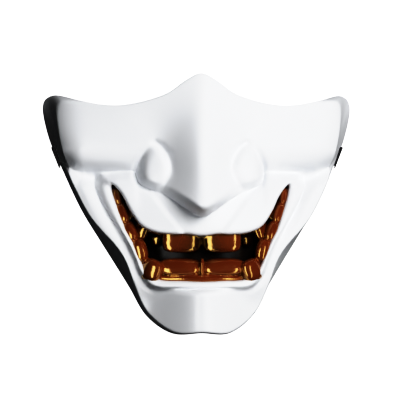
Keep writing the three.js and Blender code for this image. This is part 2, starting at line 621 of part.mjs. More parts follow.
const shell = toSolid(ringGeometry(shellSection)).subtract(slotCutter(1)).subtract(slotCutter(-1));

const COLOURS = {
  white: { color: '#eef0f1', roughness: 0.38, metalness: 0 },
  gold: { color: '#b4620f', roughness: 0.18, metalness: 1 },
  black: { color: '#0b0a0a', roughness: 0.3, metalness: 0 },
  elastic: { color: '#141416', roughness: 0.85, metalness: 0 },
};

const mask = new THREE.Group();
mask.name = 'oni_half_mask';
function piece(name, geometry, finish) {
  const mesh = new THREE.Mesh(geometry, new THREE.MeshStandardMaterial(COLOURS[finish]));
  mesh.name = name;
  mask.add(mesh);
}
piece('mask_shell', toGeometry(shell), 'white');
piece('upper_teeth', toGeometry(upperTeeth), 'gold');
piece('lower_teeth', toGeometry(lowerTeeth), 'gold');
piece('mouth_panel', panelGeometry(), 'black');
piece('strap', strapGeometry(), 'elastic');

export default mask;
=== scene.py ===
import math
import bpy
import numpy as np
from mathutils import Matrix, Vector


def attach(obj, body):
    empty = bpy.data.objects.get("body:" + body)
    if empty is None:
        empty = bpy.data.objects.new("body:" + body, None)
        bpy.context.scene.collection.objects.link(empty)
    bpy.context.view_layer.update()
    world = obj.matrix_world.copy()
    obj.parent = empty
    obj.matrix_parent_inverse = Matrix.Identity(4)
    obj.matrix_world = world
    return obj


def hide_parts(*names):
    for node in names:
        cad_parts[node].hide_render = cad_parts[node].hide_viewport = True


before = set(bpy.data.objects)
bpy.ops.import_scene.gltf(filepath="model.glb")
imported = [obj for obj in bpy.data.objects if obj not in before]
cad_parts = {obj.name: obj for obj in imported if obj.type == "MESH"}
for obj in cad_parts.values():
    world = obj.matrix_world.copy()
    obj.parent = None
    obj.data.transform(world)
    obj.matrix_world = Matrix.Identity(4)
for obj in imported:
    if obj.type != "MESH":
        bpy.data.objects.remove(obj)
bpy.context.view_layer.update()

print("CAD nodes:", ", ".join(sorted(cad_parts)))

# %% [markdown]
# Named sizes
#
# The mask is described as its front is seen: u across it, v up it, w towards the viewer, in millimetres.
# Three curves run round the mouth from the middle of the nose bridge to the middle of the chin:
# the mouth edge, the crease round the lips and the outer edge. Each station names a point on all three.
# The middle of the face is at u = 0 and only one half is given, because the mask is symmetric.
# %% Sizes of the shell
MM = 0.001
WALL = 3.0  # moulded wall
RIM_PITCH = math.radians(13)  # the rim leans back from the face plane
RIM_TOP_V = 62  # height at which the rim plane meets the face plane
MIDDLE_Y = -14.19  # puts the middle of the lying mask at Y = 0

STATIONS = [
    ("centre above", (0, -18.1), (0, -6.8), (0, 77.6)),
    ("bridge side", (9, -17.0), (9.5, -2.0), (9, 73.6)),
    ("bridge foot", (17, -17.2), (19.5, 4.9), (19, 66.6)),
    ("nostril", (27, -16.2), (28.0, 8.8), (30, 62.6)),
    ("nose wing", (35.5, -12.3), (36.2, 13.0), (41, 60.2)),
    ("cheek root", (41.5, -4.0), (39.2, 19.8), (50, 59.4)),
    ("cheek dip", (46, 4.8), (45.5, 19.6), (60, 60.2)),
    ("cheek", (49.8, 10.0), (52.5, 19.6), (72, 62.8)),
    ("mouth corner", (52.4, 12.2), (60.8, 18.8), (88.5, 67.4)),
    ("cheek tip", (52.5, 9.0), (62.2, 11.0), (95.5, 61.5)),
    ("temple", (50.9, 3.0), (58.8, 3.0), (91.8, 42.0)),
    ("strap", (48.3, -4.1), (54.5, -4.5), (84, 24)),
    ("jaw top", (44.5, -14), (49.2, -13), (71.8, -2)),
    ("jaw", (40, -22.5), (43.6, -22.5), (59.5, -22.3)),
    ("jaw foot", (36.5, -31), (39.5, -30.8), (49.9, -37.5)),
    ("lower corner", (32, -39), (36.0, -40), (42.1, -50)),
    ("chin corner", (24.5, -43.6), (28.6, -47.6), (31.8, -67.0)),
    ("chin side", (12.5, -44.2), (14, -48.6), (16.7, -77.4)),
    ("chin notch", (0, -44.6), (0, -48.8), (0, -77.1)),
]
LAST = len(STATIONS) - 1
CORNER = 8  # the station of the mouth corner

# Where each form comes in or fades out round the mouth, as two stations
CHIN_STARTS = (14.6, 16.2)
WALL_STARTS = (6.8, 8.9)
FOLD_STARTS = (8.2, 9.4)
FOLD_ENDS = (15.2, 16.6)
UPPER_LIP_ENDS = (8.0, 9.0)
UNDERSIDE_ENDS = (4.3, 6.0)
NOSE_ENDS = (11, 13)

# Profiles down the face, each as pairs of height v and size
MUZZLE_FRONT = [(82, 50.5), (60, 51.5), (40, 51.5), (20, 59.5), (0, 73), (-18, 79.5),
                (-30, 80), (-45, 80), (-60, 80.5), (-72, 79), (-80, 76)]
MUZZLE_SLOPE = [(82, 0.36), (60, 0.31), (40, 0.20), (20, 0.30), (0, 0.46), (-30, 0.54), (-60, 0.62),
                (-80, 0.66)]
MUZZLE_ROUND = [(82, 13), (45, 14), (20, 17), (0, 21), (-30, 24), (-60, 27), (-80, 30)]
NOSE_RIDGE = [(80, 63), (60, 68), (40, 75.5), (20, 84.5), (8, 91.5), (0, 96), (-6, 98.8), (-10, 99.5),
              (-14, 98)]
NOSE_FLANK = [(80, 0.42), (60, 0.58), (40, 0.90), (20, 1.30), (8, 1.38), (0, 1.34), (-12, 1.30)]
NOSE_KEEL = [(80, 5), (40, 5), (20, 5.5), (5, 8.0), (-3, 10.5), (-12, 11)]
# Profiles round the mouth, each as pairs of station and size
NOSE_UNDERSIDE = [(0, 4.6), (2, 4.2), (3, 3.6), (4, 3.0), (5, 3.0), (18, 3.0)]
LIP_FULLNESS = [(0, 0), (2, 0.8), (4, 3.0), (6, 5.0), (8, 4.5), (18, 4.5)]
SHOULDER = [(0, 0.1), (6.8, 0.1), (8, 8), (9, 20), (10, 16.5), (10.5, 15), (11, 9.5), (11.5, 7), (12, 6),
            (13, 8), (14, 7), (15, 5), (16, 4), (18, 4)]
SHOULDER_CURVE = [(0, 1.4), (8, 1.4), (9, 1.1), (10.5, 1.1), (11, 1.8), (12, 1.6), (13, 1.2), (14.5, 1.2),
                  (15.5, 1.6), (18, 1.6)]
FOLD_HEIGHT = [(8, 5), (11, 5), (12, 3.5), (13, 2.2), (15, 1.6), (18, 1.6)]
FOLD_WIDTH = [(8, 24), (11, 24), (12, 15), (13, 7.5), (14, 6), (18, 6)]
FOLD_FADE = (12, 26)  # heights v between which the fold dies out under the cheek
BAND = {"height": 3.6, "width": 1.7, "edge": 4.6, "round": 0.62}  # the lower lip, a step out of the face
BAND_LEAST = 2  # mm of the band that are rounded off at the least
LIP = {"bulge": 0.62, "edge": 3, "round": 3.6, "beyond": 1.8}  # the upper lip, fuller beyond the philtrum
LIP_BEYOND = (-0.6, 3)  # distances outside the philtrum between which the lip grows fuller
LIP_STARTS = (0, 5)  # and distances in from the crease
LIP_BACK = {"share": 0.8, "upper": 5.4, "band": 5.9, "round": 1.6}
PHILTRUM = {"a": 29.5, "v": 9, "run": 21, "climb": 27.5, "length": 34.6}  # a point on its edge, its course
BEHIND = {"face": 3.4, "nose": 4.2, "wing": 4.6}  # how far the inside lies behind each form
NOSE_HOLLOW = (3.5, 13)  # distances from the crease between which the inside drops into the nose
UNDERSIDE_SOFT = {"share": 0.6, "from": -0.5, "to": 1.6}  # softens the underside of the nose

CHEEK = {"right": 84.5, "flare": 0.22, "low": 20.0, "corner": 15, "rise": 10.0, "roll": 22, "curve": 2.8}
WING = {"a": 27.4, "v": 22.8, "inner": 13.0, "outer": 9.4, "above": 14.4, "below": 18, "turn": 12,
        "top": 66.4, "lean": 0.30, "pitch": 0.30, "depth": 9.5, "power": 3.4}
# Soft creases that are carved in, as a, v and depth along each
NOSTRIL_CREASE = [(29.5, 37.4, 0), (27.1, 36.6, 1.6), (23.6, 34.2, 2.6), (20.7, 30.1, 2.8), (18.9, 26, 2.2),
                  (17.8, 21.3, 1.0), (17.2, 15.5, 0)]
CHEEK_CREASE = [(82, 31, 0), (78, 22.0, 3.2), (71, 16.8, 5.4), (62, 16.0, 4.8), (55, 17.3, 2.8),
                (48, 18.9, 1.0), (42, 19.6, 0)]
WING_CREASE = [(31, 35, 0), (34.4, 30, 1.4), (36.6, 24, 3.4), (37.4, 18.5, 4.0), (35.6, 13.4, 3.0),
               (31, 9.6, 1.2), (26, 7.5, 0)]
JAW_CREASE = [(64, 22, 0), (62.4, 17, 1.6), (60.8, 10, 2.4), (58.4, 2, 2.0), (54.4, -6, 1.4), (49, -14, 0.8),
              (43, -25, 0)]
CREASE_WIDTH = 2.2
CHEEK_CREASE_WIDTH = 4.2
# Sets the inside back along the crease round the lips, to leave room for the wall. Just outside the
# mouth corners, where the creases meet, it isn't enough, and the two sides of the wall cross there
CREASE_BACK = [(0, 0.9), (3, 0.9), (4, 2.6), (6, 2.6), (7, 1.6), (9, 1.6), (10, 0.9), (18, 0.9)]
CREASE_BACK_WIDTH = 9
CHIN = {"front": 90, "slope": 1.02, "round": 8, "side": 2, "more": 6.5, "reach": 14, "blend": 4, "rise": 3.5}
WING_BLEND = 3.0
BLEND = {"low": 2.6, "more": 6.4, "from": 22, "to": 52}  # the nose runs into the cheek more softly higher up
print(len(STATIONS), "stations round half of the mouth, on three curves")


# %% Curve helpers
def smooth(x, low, high):
    t = np.clip((x - low) / (high - low), 0, 1)
    return t * t * (3 - 2 * t)


def soft_max(p, q, blend):
    h = np.clip(0.5 + 0.5 * (p - q) / blend, 0, 1)
    return q * (1 - h) + p * h + blend * h * (1 - h)


def quarter(x):
    """A quarter-round rise from 0 to 1."""
    t = np.clip(x, 0, 1)
    return np.sqrt(np.maximum(1 - (1 - t) ** 2, 0))


def along(pairs, place):
    """A smooth curve through pairs of place and size."""
    table = np.array(sorted(pairs), float)
    xs, ys = table[:, 0], table[:, 1]
    step = np.diff(xs)
    slope = np.diff(ys) / step
    tangent = np.concatenate([
        [slope[0]],
        (slope[:-1] * step[1:] + slope[1:] * step[:-1]) / (step[:-1] + step[1:]),
        [slope[-1]],
    ])
    x = np.clip(place, xs[0], xs[-1])
    i = np.clip(np.searchsorted(xs, x, side="right") - 1, 0, len(xs) - 2)
    h = step[i]
    f = (x - xs[i]) / h
    return ((1 + 2 * f) * (1 - f) ** 2 * ys[i] + f * (1 - f) ** 2 * h * tangent[i]
            + f * f * (3 - 2 * f) * ys[i + 1] + f * f * (f - 1) * h * tangent[i + 1])


MOUTH, CREASE, EDGE = 0, 1, 2


def station(t, which):
    """The point of one of the three curves at station t, mirrored past both ends."""
    t = np.atleast_1d(np.asarray(t, float))
    points = np.array([row[1 + which] for row in STATIONS], float)

    def row(k):
        inside = np.where(k < 0, -k, np.where(k > LAST, 2 * LAST - k, k))
        p = points[inside].copy()
        p[:, 0] = np.where(inside == k, p[:, 0], -p[:, 0])
        return p

    i = np.clip(np.floor(t).astype(int), 0, LAST - 1)
    f = (t - i)[:, None]
    p0, p1, p2, p3 = row(i - 1), row(i), row(i + 1), row(i + 2)
    m1, m2 = (p2 - p0) / 2, (p3 - p1) / 2
    return (2 * p1 - 2 * p2 + m1 + m2) * f ** 3 + (-3 * p1 + 3 * p2 - 2 * m1 - m2) * f * f + m1 * f + p1


def lie(points):
    """From the front view in millimetres to the lying mask in metres."""
    u, v, w = points[..., 0], points[..., 1], points[..., 2]
    y = v * math.cos(RIM_PITCH) - w * math.sin(RIM_PITCH) - MIDDLE_Y
    z = w * math.cos(RIM_PITCH) + (v - RIM_TOP_V) * math.sin(RIM_PITCH)
    return np.stack([u, y, z], axis=-1) * MM


print("mouth corner at", station(CORNER, MOUTH)[0].round(1), "mm")

# %% [markdown]
# The height of the face
#
# Everything is carved on a plain muzzle, a soft wedge that falls away to both sides.
# On it sit the cheek cushions, the nose with its two wings, the fold beside the mouth and the chin.
# Each is a height over the front view. They are added up, or the larger one wins with a soft seam,
# as a sculptor adds clay. Then the creases are carved in.
# Between the crease and the mouth edge lie the upper lip and the rolled band of the lower lip.


# %% Heights
def muzzle(a, v):
    r = along(MUZZLE_ROUND, v)
    return along(MUZZLE_FRONT, v) - along(MUZZLE_SLOPE, v) * (np.hypot(a, r) - r)


def cushion(a, v, inset):
    """The cheek cushion, a raised field with a round lower outer corner."""
    ey = CHEEK["low"] + inset + CHEEK["corner"] - v
    ex = a - (CHEEK["right"] - inset - CHEEK["corner"]) - CHEEK["flare"] * np.maximum(-ey, 0)
    out = np.hypot(np.maximum(ex, 0), np.maximum(ey, 0)) + np.minimum(np.maximum(ex, ey), 0)
    inward = np.clip((CHEEK["corner"] - out) / CHEEK["roll"], 0, 1)
    return CHEEK["rise"] * (1 - (1 - inward) ** CHEEK["curve"])


def chin(a, v, d, t):
    """How far the chin, with its keel, stands out of the muzzle."""
    plain = muzzle(a, v)
    keel = CHIN["front"] - CHIN["slope"] * (np.hypot(a, CHIN["round"]) - CHIN["round"])
    side = plain - CHIN["side"] - CHIN["more"] * smooth(d, 0, CHIN["reach"])
    share = smooth(t, *CHIN_STARTS) * quarter(d / CHIN["rise"])
    return (soft_max(keel, side, CHIN["blend"]) - plain) * share


def nose_body(a, v):
    r = along(NOSE_KEEL, v)
    return along(NOSE_RIDGE, v) - along(NOSE_FLANK, v) * (np.hypot(a, r) - r)


def nose_wing(a, v):
    turn = math.radians(WING["turn"])
    x = (a - WING["a"]) * math.cos(turn) + (v - WING["v"]) * math.sin(turn)
    y = (v - WING["v"]) * math.cos(turn) - (a - WING["a"]) * math.sin(turn)
    x = x / np.where(x > 0, WING["outer"], WING["inner"])
    y = y / np.where(y > 0, WING["above"], WING["below"])
    plane = WING["top"] - WING["lean"] * (a - WING["a"]) - WING["pitch"] * (v - WING["v"])
    return plane - WING["depth"] * (x * x + y * y) ** (WING["power"] / 2)


def carved(a, v, crease, width=CREASE_WIDTH):
    """How deep a crease cuts at a point: a soft groove along its line."""
    deepest = np.zeros_like(a)
    for (pa, pv, pd), (qa, qv, qd) in zip(crease[:-1], crease[1:]):
        ea, ev = qa - pa, qv - pv
        f = np.clip(((a - pa) * ea + (v - pv) * ev) / (ea * ea + ev * ev), 0, 1)
        apart = np.hypot(a - pa - f * ea, v - pv - f * ev)
        deepest = np.maximum(deepest, (pd + (qd - pd) * f) * np.exp(-(apart / width) ** 2))
    return deepest


def side_creases(a, v):
    return carved(a, v, CHEEK_CREASE, CHEEK_CREASE_WIDTH) + carved(a, v, JAW_CREASE)


def rim_height(v):
    return math.tan(RIM_PITCH) * (RIM_TOP_V - v)


def upper_lip_share(t):
    return 1 - smooth(t, *UPPER_LIP_ENDS)


def band_step(inward):
    return BAND["height"] * smooth(inward, -BAND["width"], BAND["width"])


def fold_height(v, d, t, start, widen):
    """The fold beside the mouth, which rises with the distance d from the crease."""
    share = smooth(t, *FOLD_STARTS) * (1 - smooth(t, *FOLD_ENDS))
    rise = smooth(d, start, along(FOLD_WIDTH, t) + widen)
    return along(FOLD_HEIGHT, t) * share * rise * (1 - smooth(v, *FOLD_FADE))


def with_nose(nose, face, v):
    """The nose and the face as one surface."""
    return soft_max(nose, face, BLEND["low"] + BLEND["more"] * smooth(v, BLEND["from"], BLEND["to"]))


def nose_share(t, cliff):
    """How much of the nose shows: a cliff near the lip, all of it beside the cheek, none on the jaw."""
    near = 1 - smooth(t, *UNDERSIDE_ENDS)
    return (1 - near + near * cliff) * (1 - smooth(t, *NOSE_ENDS))


def underside(d, t):
    """The rise from the lip to the nose."""
    reach = along(NOSE_UNDERSIDE, t)
    soft = smooth(d, UNDERSIDE_SOFT["from"] * reach, UNDERSIDE_SOFT["to"] * reach)
    return (1 - UNDERSIDE_SOFT["share"]) * quarter(d / reach) + UNDERSIDE_SOFT["share"] * soft


def face_height(a, v, d, t):
    """The face outside the crease; d is the distance out from it."""
    face = muzzle(a, v) + cushion(a, v, 0) + chin(a, v, d, t)
    nose = soft_max(nose_body(a, v), nose_wing(a, v), WING_BLEND)
    whole = with_nose(nose, face, v) - carved(a, v, NOSTRIL_CREASE) - carved(a, v, WING_CREASE)
    cliff = nose_share(t, underside(d, t))
    fold = fold_height(v, d, t, start=0.5, widen=0)
    band = (1 - upper_lip_share(t)) * band_step(-d)
    return face + (whole - face) * cliff + fold + band - side_creases(a, v)


def face_inside(a, v, d, t):
    """The inside behind the face, which follows it at roughly the thickness of the wall."""
    face = muzzle(a, v) + cushion(a, v, WALL) + chin(a, v, d - WALL, t) - BEHIND["face"]
    nose = soft_max(nose_body(a, v) - BEHIND["nose"], nose_wing(a, v) - BEHIND["wing"], WING_BLEND)
    cliff = nose_share(t, smooth(d, *NOSE_HOLLOW))
    fold = fold_height(v, d, t, start=2, widen=2)
    creases = carved(a, v, NOSTRIL_CREASE) + carved(a, v, WING_CREASE) + side_creases(a, v)
    deeper = along(CREASE_BACK, t) * (1 - smooth(d, 0, CREASE_BACK_WIDTH))
    return face + (with_nose(nose, face, v) - face) * cliff + fold - creases - deeper


def lip_bulge(d, width, t, share=1):
    """The swell of the upper lip from the crease to the mouth edge."""
    return share * along(LIP_FULLNESS, t) * np.sin(math.pi * LIP["bulge"] * np.clip(d / width, 0, 1))


def beyond_philtrum(a, v):
    """The distance outside the edge of the philtrum."""
    across = (a - PHILTRUM["a"]) * PHILTRUM["climb"] - (v - PHILTRUM["v"]) * PHILTRUM["run"]
    return across / PHILTRUM["length"]


def lip_height(a, v, d, width, t):
    """The lips inside the crease; d is the distance in from it."""
    from_mouth = width - d
    edge = LIP["edge"] * (1 - quarter(from_mouth / LIP["round"]))
    beyond = LIP["beyond"] * smooth(beyond_philtrum(a, v), *LIP_BEYOND) * smooth(d, *LIP_STARTS)
    upper = lip_bulge(d, width, t) - edge + beyond
    band_round = np.maximum(BAND["round"] * width, BAND_LEAST)
    band = band_step(d) - BAND["edge"] * (1 - quarter(from_mouth / band_round))
    share = upper_lip_share(t)
    creases = side_creases(a, v) + carved(a, v, WING_CREASE)
    return muzzle(a, v) + share * upper + (1 - share) * band - creases


def lip_inside(a, v, d, width, t):
    """The back of the lips, a thick bead round the mouth."""
    rounding = LIP_BACK["round"] * quarter((width - d) / LIP["round"])
    upper = lip_bulge(d, width, t, LIP_BACK["share"]) - LIP_BACK["upper"] + rounding
    band = LIP_BACK["round"] * (1 - np.clip(d / width, 0, 1)) - LIP_BACK["band"]
    share = upper_lip_share(t)
    return muzzle(a, v) + share * upper + (1 - share) * band


def drop_to_rim(w, v, from_edge, t, radius):
    """The side wall: the face rolls over and drops to the rim plane."""
    share = smooth(t, *WALL_STARTS)
    rim = rim_height(v)
    left = (1 - np.clip(from_edge / radius, 0, 1)) ** float(along(SHOULDER_CURVE, t))
    return w * (1 - share) + share * (rim + (w - rim) * (1 - left))


print("nose tip stands", round(float(nose_body(0.0, -9.0)), 1), "mm over the face plane")

# %% [markdown]
# The shell
#
# The real shell is one moulding about 3 mm thick, and both halves are alike. A section through it runs
# over the lip and the face, round the rim and back inside. So one half is a grid primitive whose columns are
# bent round such sections, a mirror modifier adds the other half, and the seams are merged.
# Sculpting it from a cube couldn't keep the crease round the lips and the rim in line, and here each of them
# has its own ring.
# Each section is first laid out finely and slightly blurred along its length, which gives all its edges
# the small radii of a moulding. Then each of its stretches is respaced evenly.
# %% Shell sections
HALF_COLUMNS = 218  # from the middle of the nose to the middle of the chin
STRETCHES = {"lip": 30, "face": 104, "rim": 8, "inside": 46, "lip back": 12, "mouth edge": 8}
# Faces along each stretch of a section are given above, and the fine steps before the blur here
LIP_STEPS = 90  # from the mouth edge to the crease
FACE_STEPS = 300  # from there to the outer edge
CROWD = 1.6  # above 1 the steps lie closer towards the end
EVEN_POINTS = 1600  # round a whole section
EDGE_RADIUS = 0.55
NEARBY = 0.05  # stations either side that give the direction of the edge
FINE_STATIONS = 3601
MERGE = 1e-6  # m
SHARPEST = 0.1  # smallest radius of the inner shoulder
SHOULDER_LESS = 2  # how much smaller the inner shoulder is than the outer one


def lay(start, end, steps, height):
    """A line from start to end in the front view, lifted to its height."""
    length = np.hypot(*(end - start))
    f = 1 - (1 - np.linspace(0, 1, steps + 1)) ** CROWD
    plan = start + (end - start) * f[:, None]
    w = height(np.abs(plan[:, 0]), plan[:, 1], length * f, length)
    return np.column_stack([plan, w])


def respace(points, n):
    run = np.concatenate([[0], np.cumsum(np.linalg.norm(np.diff(points, axis=0), axis=1))])
    want = np.linspace(0, run[-1], n + 1)
    return np.column_stack([np.interp(want, run, points[:, k]) for k in range(3)])


def blur(loop, radius):
    """Averages a closed loop over a bell of the given radius, on an even spacing."""
    closed = np.vstack([loop, loop[:1]])
    run = np.concatenate([[0], np.cumsum(np.linalg.norm(np.diff(closed, axis=0), axis=1))])
    even = np.linspace(0, run[-1], EVEN_POINTS, endpoint=False)
    points = np.column_stack([np.interp(even, run, closed[:, k]) for k in range(3)])
    step = run[-1] / EVEN_POINTS
    reach = int(3 * radius / step) + 1
    weight = np.exp(-0.5 * (np.arange(-reach, reach + 1) * step / radius) ** 2)
    weight /= weight.sum()
    soft = sum(w * np.roll(points, -k, axis=0) for k, w in zip(range(-reach, reach + 1), weight))
    return soft, run[:-1] / step


def shell_section(t):
    """A closed section through the wall at station t, as evenly spaced stretches."""
    mouth, crease, edge = (station(t, which)[0] for which in (MOUTH, CREASE, EDGE))
    tangent = station(t + NEARBY, EDGE)[0] - station(t - NEARBY, EDGE)[0]
    tangent /= np.hypot(*tangent)
    inward = np.array([tangent[1], -tangent[0]])
    share = smooth(t, *WALL_STARTS)
    inner_edge = edge + inward * WALL * share
    radius = float(along(SHOULDER, t))
    inner_radius = max(radius - SHOULDER_LESS * share, SHARPEST)
    lip = lay(mouth, crease, LIP_STEPS, lambda a, v, s, size: lip_height(a, v, size - s, size, t))
    face = lay(crease, edge, FACE_STEPS,
               lambda a, v, s, size: drop_to_rim(face_height(a, v, s, t), v, size - s, t, radius))
    inside = lay(crease, inner_edge, FACE_STEPS,
                 lambda a, v, s, size: drop_to_rim(face_inside(a, v, s, t), v, size - s, t, inner_radius))
    lip_back = lay(mouth, crease, LIP_STEPS, lambda a, v, s, size: lip_inside(a, v, size - s, size, t))
    loop = np.vstack([lip[:-1], face, inside[::-1], lip_back[::-1][1:]])
    soft, place = blur(loop, EDGE_RADIUS)
    marks = np.cumsum([0, len(lip) - 1, len(face) - 1, 1, len(inside) - 1, len(lip_back) - 1])
    marks = [int(round(place[m])) for m in marks] + [len(soft)]
    closed = np.vstack([soft, soft[:1]])
    rows = [respace(closed[p:q + 1], n)[:-1] for p, q, n in zip(marks[:-1], marks[1:], STRETCHES.values())]
    return np.vstack(rows)


def spread_stations(count):
    """Stations spread evenly along the three curves together."""
    fine = np.linspace(0, LAST, FINE_STATIONS)
    run = np.zeros(len(fine))
    for which in (MOUTH, CREASE, EDGE):
        run[1:] += np.cumsum(np.linalg.norm(np.diff(station(fine, which), axis=0), axis=1))
    return np.interp(np.linspace(0, run[-1], count + 1), run, fine)


half = np.array([shell_section(float(t)) for t in spread_stations(HALF_COLUMNS)])
half[[0, -1], :, 0] = 0
print("half of the shell:", half.shape[0], "sections of", half.shape[1], "points")


# %% Shell mesh
def only(obj):
    """Selects one object alone and makes it active."""
    bpy.ops.object.select_all(action="DESELECT")
    obj.select_set(True)
    bpy.context.view_layer.objects.active = obj


def vertices_of(obj):
    return np.array([v.co[:] for v in obj.data.vertices])


def move_vertices(obj, points):
    obj.data.vertices.foreach_set("co", np.asarray(points, float).reshape(-1))
    obj.data.update()


def recalculate(obj):
    only(obj)
    bpy.ops.object.mode_set(mode="EDIT")
    bpy.ops.mesh.select_all(action="SELECT")
    bpy.ops.mesh.normals_make_consistent(inside=False)
    bpy.ops.object.mode_set(mode="OBJECT")


def apply_modifier(obj, kind, **settings):
    only(obj)
    modifier = obj.modifiers.new(kind.lower(), kind)
    for name, value in settings.items():
        setattr(modifier, name, value)
    bpy.ops.object.modifier_apply(modifier=modifier.name)


bpy.ops.mesh.primitive_grid_add(x_subdivisions=half.shape[0] - 1, y_subdivisions=half.shape[1], size=2)
shell = bpy.context.object
shell.name = "mask_shell_fine"
place = vertices_of(shell)
column = np.round((place[:, 0] + 1) / 2 * (half.shape[0] - 1)).astype(int)
ring = np.round((place[:, 1] + 1) / 2 * half.shape[1]).astype(int) % half.shape[1]
move_vertices(shell, lie(half)[column, ring])
apply_modifier(shell, "MIRROR", use_mirror_merge=True, merge_threshold=MERGE)
bpy.ops.object.mode_set(mode="EDIT")
bpy.ops.mesh.select_all(action="SELECT")
bpy.ops.mesh.remove_doubles(threshold=MERGE)
bpy.ops.object.mode_set(mode="OBJECT")
recalculate(shell)
print("shell:", len(shell.data.polygons), "faces")

# %% [markdown]
# The strap slots
#
# A slot is moulded in each side wall, just above the rim. A box sheared to the lean of the wall cuts it.
# %% Slots
SLOT = {"x": 85.8, "y": 39.7, "z": 8.0, "long": 14, "high": 3.2, "through": 12}
LEAN = math.tan(math.radians(21.5))  # of the wall at the slot


def cut_slot(side):
    bpy.ops.mesh.primitive_cube_add(size=1)
    cutter = bpy.context.object
    p = vertices_of(cutter) * (SLOT["through"], SLOT["long"], SLOT["high"])
    p[:, 0] += side * LEAN * p[:, 1]
    move_vertices(cutter, (p + (side * SLOT["x"], SLOT["y"], SLOT["z"])) * MM)
    apply_modifier(shell, "BOOLEAN", operation="DIFFERENCE", object=cutter, solver="EXACT")
    bpy.data.objects.remove(cutter)


for side in (1, -1):
    cut_slot(side)
only(shell)
bpy.ops.object.shade_smooth_by_angle(angle=math.radians(50))
print("shell with slots:", len(shell.data.polygons), "faces")

# %% [markdown]
# The teeth
#
# Each row is one casting: rounded teeth that grow out of a gum bar. A tooth is a sphere primitive pressed
# towards a block, and the bar is a sphere drawn out along the mouth edge. A voxel remesh fuses them,
# and a light smoothing rounds the seams, as the thick lacquer does on the real row.
# Both are shaped in the front view, with h as the height over the muzzle, so that they follow the face.
# %% Teeth
UPPER_TEETH = [
    {"a": 11.4, "v": -15.1, "across": 11.5, "tall": 12.8, "front": -3.4, "deep": 5.0, "turn": 2,
     "square": 3.2, "upright": 7, "lean": 0.28, "pitch": 0.08},
    {"a": 26.6, "v": -14.5, "across": 4.2, "tall": 10.2, "front": -10.2, "deep": 3.2, "turn": 6},
    {"a": 34.6, "v": -12.5, "across": 4.8, "tall": 10.0, "front": -4.2, "deep": 5.0, "turn": 20},
    {"a": 41.8, "v": -3.6, "across": 3.6, "tall": 7.6, "front": -5.0, "deep": 4.6, "turn": 28},
]
LOWER_TEETH = [
    {"a": 12.4, "v": -36.0, "across": 12.9, "tall": 5.0, "front": -1.4, "deep": 5.6, "turn": 0,
     "square": 3.6, "upright": 3, "lean": 0.20, "pitch": -0.32},
    {"a": 0.3, "v": -36.4, "across": 1.0, "tall": 5.4, "front": -1.0, "deep": 4.0, "turn": 0},
    {"a": 29.2, "v": -38.4, "across": 6.3, "tall": 7.0, "front": 5.4, "deep": 8.0, "turn": 24},
    {"a": 36.4, "v": -26.8, "across": 4.8, "tall": 6.8, "front": 2.2, "deep": 6.0, "turn": -14, "lean": 0.22},
    {"a": 42.2, "v": -15.8, "across": 4.4, "tall": 6.4, "front": 1.4, "deep": 6.0, "turn": -22, "lean": 0.1},
    {"a": 46.8, "v": -4.8, "across": 3.9, "tall": 6.3, "front": 1.0, "deep": 6.0, "turn": -22},
    {"a": 49.6, "v": 5.2, "across": 2.9, "tall": 5.4, "front": 0.2, "deep": 6.0, "turn": -10},
]
UPPER_GUM = {"inset": -2.5, "across": 5.0, "top": -6.0, "deep": 4.9, "ends": (-6.4, 6.4)}
LOWER_GUM = {"inset": 1.2, "across": 3.9, "top": -1.9, "deep": 6.8, "ends": (9.6, 2 * LAST - 9.6)}
GUM_TAPER = 0.12  # how soon the gum bar reaches its full thickness from either end
VOXEL = 0.42 * MM
GROOVE_SHADE = (-8.5, -2.5)  # heights over the muzzle between which the painted shade in the grooves fades into the amber body


def over_muzzle(u, v, h):
    return lie(np.column_stack([u, v, muzzle(np.abs(u), v) + h]))


def ball(segments, rings):
    bpy.ops.mesh.primitive_uv_sphere_add(segments=segments, ring_count=rings, radius=1)
    obj = bpy.context.object
    return obj, vertices_of(obj)


def make_tooth(side, a, v, across, tall, front, deep, turn, square=2.2, upright=3, lean=0, pitch=0):
    """square and upright say how blocky it is across and from root to edge; lean and pitch tip its face."""
    obj, p = ball(segments=32, rings=24)
    x, y, z = np.abs(p).T
    flat = (x ** square + z ** square) ** (1 / square)
    reach = (flat ** upright + y ** upright) ** (-1 / upright)
    x, y, z = (p * reach[:, None] * (across, tall, deep)).T
    angle = math.radians(turn)
    au = a + x * math.cos(angle) - y * math.sin(angle)
    av = v + x * math.sin(angle) + y * math.cos(angle)
    move_vertices(obj, over_muzzle(side * au, av, front - deep + z + lean * x + pitch * y))
    return obj


def make_gum(inset, across, top, deep, ends):
    """A bar along the mouth edge between two stations, which may lie past the middle."""
    obj, p = ball(segments=28, rings=220)
    polar = np.arccos(np.clip(p[:, 2], -1, 1))
    round_angle = np.arctan2(p[:, 1], p[:, 0])
    t = ends[0] + (ends[1] - ends[0]) * polar / math.pi
    folded = np.where(t > LAST, 2 * LAST - t, np.abs(t))
    side = np.where((t > LAST) | (t < 0), -1, 1)
    mouth = station(folded, MOUTH)
    out = station(folded, CREASE) - mouth
    out /= np.linalg.norm(out, axis=1)[:, None]
    taper = quarter(np.sin(polar) / GUM_TAPER)
    shift = -inset + across * taper * np.cos(round_angle)
    plan = mouth + out * shift[:, None]
    h = top - deep + deep * taper * np.sin(round_angle)
    move_vertices(obj, over_muzzle(side * plan[:, 0], plan[:, 1], h))
    return obj


